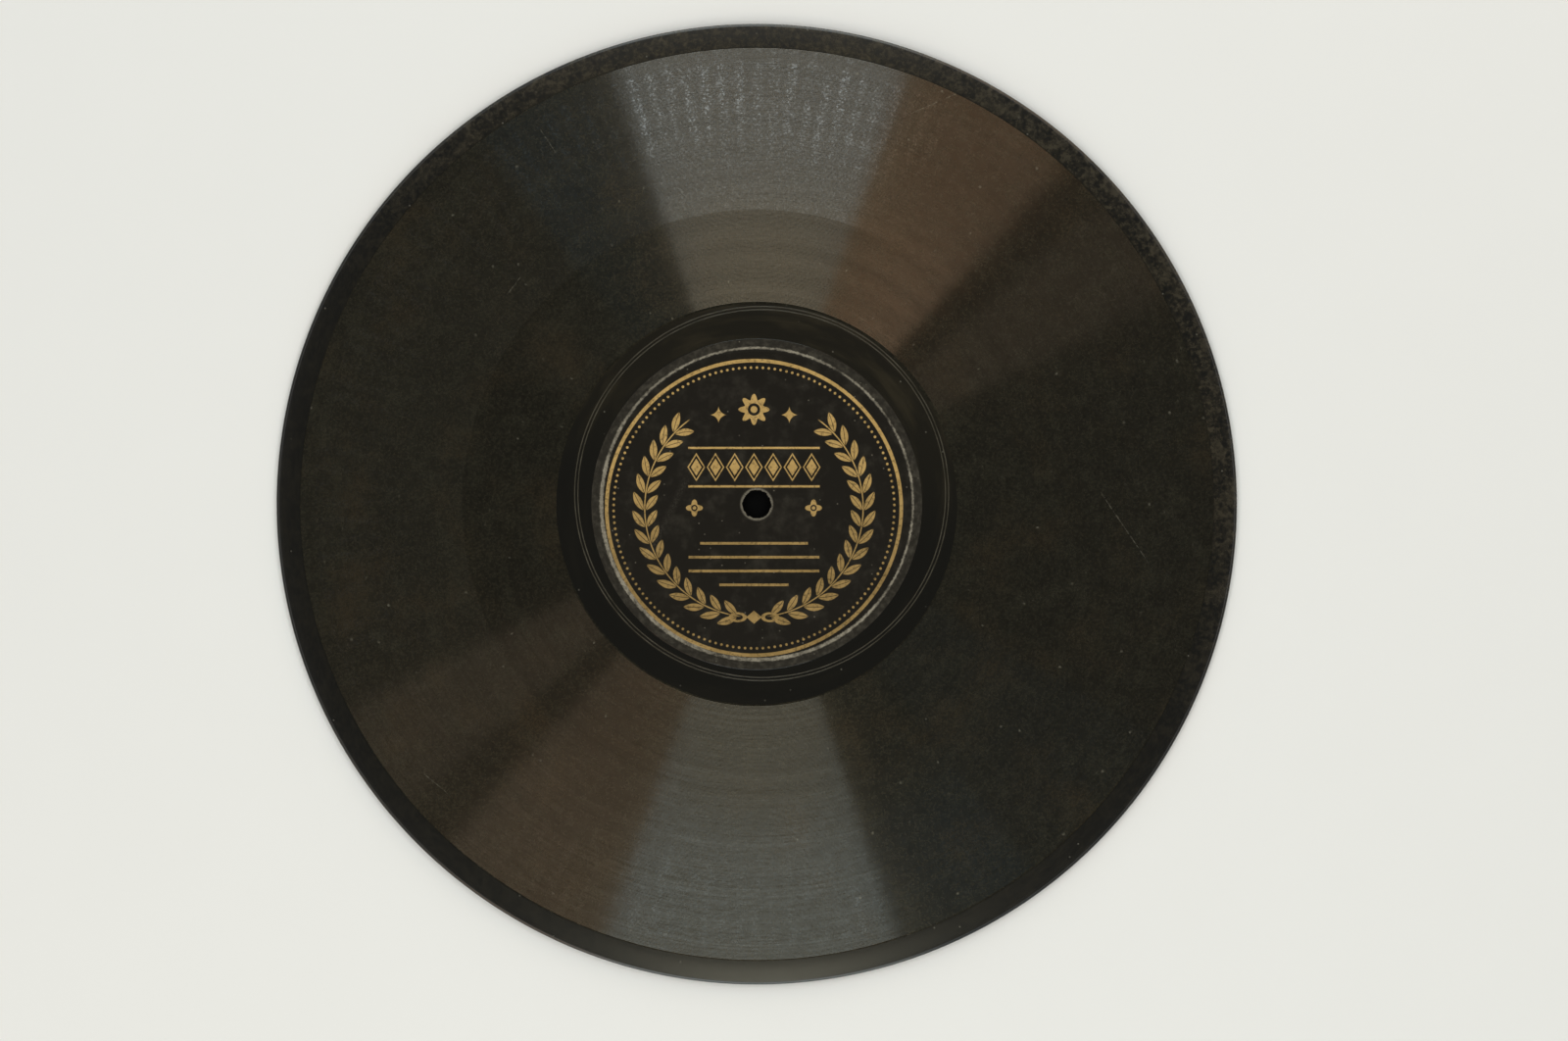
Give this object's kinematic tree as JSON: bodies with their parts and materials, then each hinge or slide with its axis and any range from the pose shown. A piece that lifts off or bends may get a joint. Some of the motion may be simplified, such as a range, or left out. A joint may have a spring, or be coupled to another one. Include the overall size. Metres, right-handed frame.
{
  "type": "shellac record",
  "caption": "Flat round shellac record with a fine groove on both faces, off-centre run-out grooves, a spindle hole and paper labels. It is played on a gramophone's turntable.",
  "frame": {"origin": "on the spindle axis, on the surface that the record lies on", "axes": "+Z along the spindle axis, out of the front face; +Y towards the top of the front label's print"},
  "size_m": [0.25, 0.25, 0.0022],
  "materials": {
    "shellac": "near-black filled shellac, glossy on the lands, dusty brown in the grooves and on the rim",
    "label_paper": "near-black printed paper with gilt ornament, worn pale on the bead and round the hole"
  },
  "bodies": {
    "root": {"pressed_disc": "shellac", "front_label": "label_paper", "back_label": "label_paper"}
  },
  "joints": []
}
